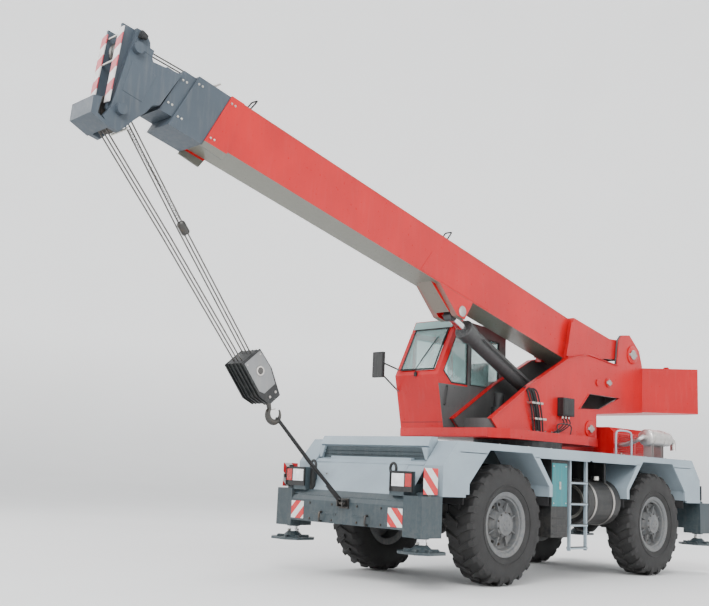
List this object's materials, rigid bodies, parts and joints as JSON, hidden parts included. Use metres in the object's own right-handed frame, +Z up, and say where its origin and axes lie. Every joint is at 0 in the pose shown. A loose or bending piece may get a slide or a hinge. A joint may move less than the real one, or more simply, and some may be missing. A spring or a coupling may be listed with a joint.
{
  "type": "mobile crane",
  "caption": "Rough-terrain mobile crane: axle carrier with outriggers, slewing superstructure with side cab and counterweight, telescopic boom with lift cylinder, winch and hook.",
  "frame": {"origin": "on the ground, under the middle of the overall box", "axes": "+Y runs to the crane's rear along its length, +X to its left, +Z up; the boom points to -Y"},
  "size_m": [2.725, 10.9811, 5.757],
  "materials": {
    "crane_red": "gloss crane enamel",
    "slate_paint": "satin slate-grey paint",
    "chassis_paint": "satin dark grey paint",
    "deck_paint": "satin light blue-grey paint",
    "black_paint": "satin black paint",
    "cylinder_paint": "satin dark grey paint",
    "rod_chrome": "hard chrome",
    "bare_steel": "worn bare steel",
    "rim_paint": "satin grey paint",
    "tyre_rubber": "matt rubber",
    "wire_rope": "greased steel wire rope",
    "seat_cloth": "woven seat cloth"
  },
  "bodies": {
    "carrier": {"chassis_frame": "chassis_paint", "slew_ring": "black_paint", "front_outrigger_box": "chassis_paint", "rear_outrigger_box": "chassis_paint", "front_deck": "deck_paint", "rear_deck": "deck_paint", "front_hood": "deck_paint", "tail_panel": "deck_paint", "battery_box": "black_paint", "side_ladder": "deck_paint", "fuel_tank": "black_paint", "hydraulic_tank": "deck_paint", "right_ladder": "deck_paint", "engine_block": "black_paint", "engine_hood": "crane_red", "muffler": "bare_steel", "front_axle": "black_paint", "rear_axle": "black_paint"},
    "superstructure": {"turntable": "crane_red", "counterweight": "crane_red", "cab_shell": "crane_red", "operator_seat": "seat_cloth", "steering_column": "black_paint"},
    "cab_door": {"cab_door": "crane_red"},
    "boom": {"boom_base": "crane_red"},
    "winch": {"winch_drum": "bare_steel"},
    "section_2": {"boom_section_2": "slate_paint"},
    "section_3": {"boom_section_3": "slate_paint"},
    "tip": {"boom_tip": "slate_paint", "upper_sheaves": "black_paint", "lower_sheaves": "black_paint"},
    "falls": {"hoist_falls": "wire_rope"},
    "hook_group": {"hook_block": "black_paint", "hook": "black_paint"},
    "lift_barrel": {"lift_barrel": "cylinder_paint"},
    "lift_rod": {"lift_rod": "rod_chrome"},
    "knuckle_body_front_left": {"knuckle_front_left": "black_paint"},
    "wheel_front_left": {"rim_front_left": "rim_paint", "tyre_front_left": "tyre_rubber"},
    "knuckle_body_front_right": {"knuckle_front_right": "black_paint"},
    "wheel_front_right": {"rim_front_right": "rim_paint", "tyre_front_right": "tyre_rubber"},
    "knuckle_body_rear_left": {"knuckle_rear_left": "black_paint"},
    "wheel_rear_left": {"rim_rear_left": "rim_paint", "tyre_rear_left": "tyre_rubber"},
    "knuckle_body_rear_right": {"knuckle_rear_right": "black_paint"},
    "wheel_rear_right": {"rim_rear_right": "rim_paint", "tyre_rear_right": "tyre_rubber"},
    "beam_front_left": {"outrigger_beam_front_left": "chassis_paint"},
    "jack_front_left": {"outrigger_jack_front_left": "chassis_paint"},
    "beam_front_right": {"outrigger_beam_front_right": "chassis_paint"},
    "jack_front_right": {"outrigger_jack_front_right": "chassis_paint"},
    "beam_rear_left": {"outrigger_beam_rear_left": "chassis_paint"},
    "jack_rear_left": {"outrigger_jack_rear_left": "chassis_paint"},
    "beam_rear_right": {"outrigger_beam_rear_right": "chassis_paint"},
    "jack_rear_right": {"outrigger_jack_rear_right": "chassis_paint"}
  },
  "joints": [
    {"name": "slew", "type": "hinge", "parent": "carrier", "child": "superstructure", "pos_m": [0, 1.89, 1.85], "axis": [0, 0, 1], "continuous": true},
    {"name": "cab_door_hinge", "type": "hinge", "parent": "superstructure", "child": "cab_door", "pos_m": [-1.2, 0.83, 2.7], "axis": [0, 0, 1], "range_deg": [0, 85]},
    {"name": "boom_luff", "type": "hinge", "parent": "superstructure", "child": "boom", "pos_m": [0, 4.48, 3.4], "axis": [-1, 0, 0], "range_deg": [-8.4, 61.6]},
    {"name": "winch_turn", "type": "hinge", "parent": "boom", "child": "winch", "pos_m": [0, 3.80868, 3.46022], "axis": [1, 0, 0], "continuous": true},
    {"name": "telescope_2", "type": "slide", "parent": "boom", "child": "section_2", "axis": [0, -0.9728, 0.2317], "range_m": [0, 6]},
    {"name": "telescope_3", "type": "slide", "parent": "section_2", "child": "section_3", "axis": [0, -0.9728, 0.2317], "range_m": [0, 6]},
    {"name": "telescope_4", "type": "slide", "parent": "section_3", "child": "tip", "axis": [0, -0.9728, 0.2317], "range_m": [0, 6]},
    {"name": "falls_swing", "type": "hinge", "parent": "tip", "child": "falls", "pos_m": [0, -5.17631, 4.80919], "axis": [-1, 0, 0], "range_deg": [-25, 5]},
    {"name": "hoist", "type": "slide", "parent": "falls", "child": "hook_group", "axis": [0, 0.6428, -0.766], "range_m": [-2.4, 0], "deforming": ["hoist_falls"]},
    {"name": "lift_barrel_swing", "type": "hinge", "parent": "superstructure", "child": "lift_barrel", "pos_m": [0, 3.24, 2.12], "axis": [-1, 0, 0], "range_deg": [-12, 61]},
    {"name": "lift_rod_stroke", "type": "slide", "parent": "lift_barrel", "child": "lift_rod", "axis": [0, -0.9074, 0.4203], "range_m": [-0.33, 1.92]},
    {"name": "steer_front_left", "type": "hinge", "parent": "carrier", "child": "knuckle_body_front_left", "pos_m": [0.74, 0.09, 0.745], "axis": [0, 0, 1], "range_deg": [-28, 28]},
    {"name": "wheel_turn_front_left", "type": "hinge", "parent": "knuckle_body_front_left", "child": "wheel_front_left", "pos_m": [1, 0.09, 0.745], "axis": [1, 0, 0], "continuous": true},
    {"name": "steer_front_right", "type": "hinge", "parent": "carrier", "child": "knuckle_body_front_right", "pos_m": [-0.74, 0.09, 0.745], "axis": [0, 0, 1], "range_deg": [-28, 28]},
    {"name": "wheel_turn_front_right", "type": "hinge", "parent": "knuckle_body_front_right", "child": "wheel_front_right", "pos_m": [-1, 0.09, 0.745], "axis": [1, 0, 0], "continuous": true},
    {"name": "steer_rear_left", "type": "hinge", "parent": "carrier", "child": "knuckle_body_rear_left", "pos_m": [0.74, 3.69, 0.745], "axis": [0, 0, 1], "range_deg": [-28, 28]},
    {"name": "wheel_turn_rear_left", "type": "hinge", "parent": "knuckle_body_rear_left", "child": "wheel_rear_left", "pos_m": [1, 3.69, 0.745], "axis": [1, 0, 0], "continuous": true},
    {"name": "steer_rear_right", "type": "hinge", "parent": "carrier", "child": "knuckle_body_rear_right", "pos_m": [-0.74, 3.69, 0.745], "axis": [0, 0, 1], "range_deg": [-28, 28]},
    {"name": "wheel_turn_rear_right", "type": "hinge", "parent": "knuckle_body_rear_right", "child": "wheel_rear_right", "pos_m": [-1, 3.69, 0.745], "axis": [1, 0, 0], "continuous": true},
    {"name": "extend_front_left", "type": "slide", "parent": "carrier", "child": "beam_front_left", "axis": [1, 0, 0], "range_m": [0, 1.5]},
    {"name": "jack_front_left", "type": "slide", "parent": "beam_front_left", "child": "jack_front_left", "axis": [0, 0, -1], "range_m": [0, 0.5]},
    {"name": "extend_front_right", "type": "slide", "parent": "carrier", "child": "beam_front_right", "axis": [-1, 0, 0], "range_m": [0, 1.5]},
    {"name": "jack_front_right", "type": "slide", "parent": "beam_front_right", "child": "jack_front_right", "axis": [0, 0, -1], "range_m": [0, 0.5]},
    {"name": "extend_rear_left", "type": "slide", "parent": "carrier", "child": "beam_rear_left", "axis": [1, 0, 0], "range_m": [0, 1.5]},
    {"name": "jack_rear_left", "type": "slide", "parent": "beam_rear_left", "child": "jack_rear_left", "axis": [0, 0, -1], "range_m": [0, 0.5]},
    {"name": "extend_rear_right", "type": "slide", "parent": "carrier", "child": "beam_rear_right", "axis": [-1, 0, 0], "range_m": [0, 1.5]},
    {"name": "jack_rear_right", "type": "slide", "parent": "beam_rear_right", "child": "jack_rear_right", "axis": [0, 0, -1], "range_m": [0, 0.5]}
  ],
  "couplings": [
    {"joint": "telescope_3", "follows": "telescope_2", "ratio": 1},
    {"joint": "telescope_4", "follows": "telescope_2", "ratio": 1},
    {"joint": "falls_swing", "follows": "boom_luff", "ratio": -0.36},
    {"joint": "lift_barrel_swing", "follows": "boom_luff", "ratio": 0.96},
    {"joint": "lift_rod_stroke", "follows": "boom_luff", "m_per_rad": 1.77},
    {"joint": "steer_front_right", "follows": "steer_front_left", "ratio": 1},
    {"joint": "steer_rear_right", "follows": "steer_rear_left", "ratio": 1}
  ]
}
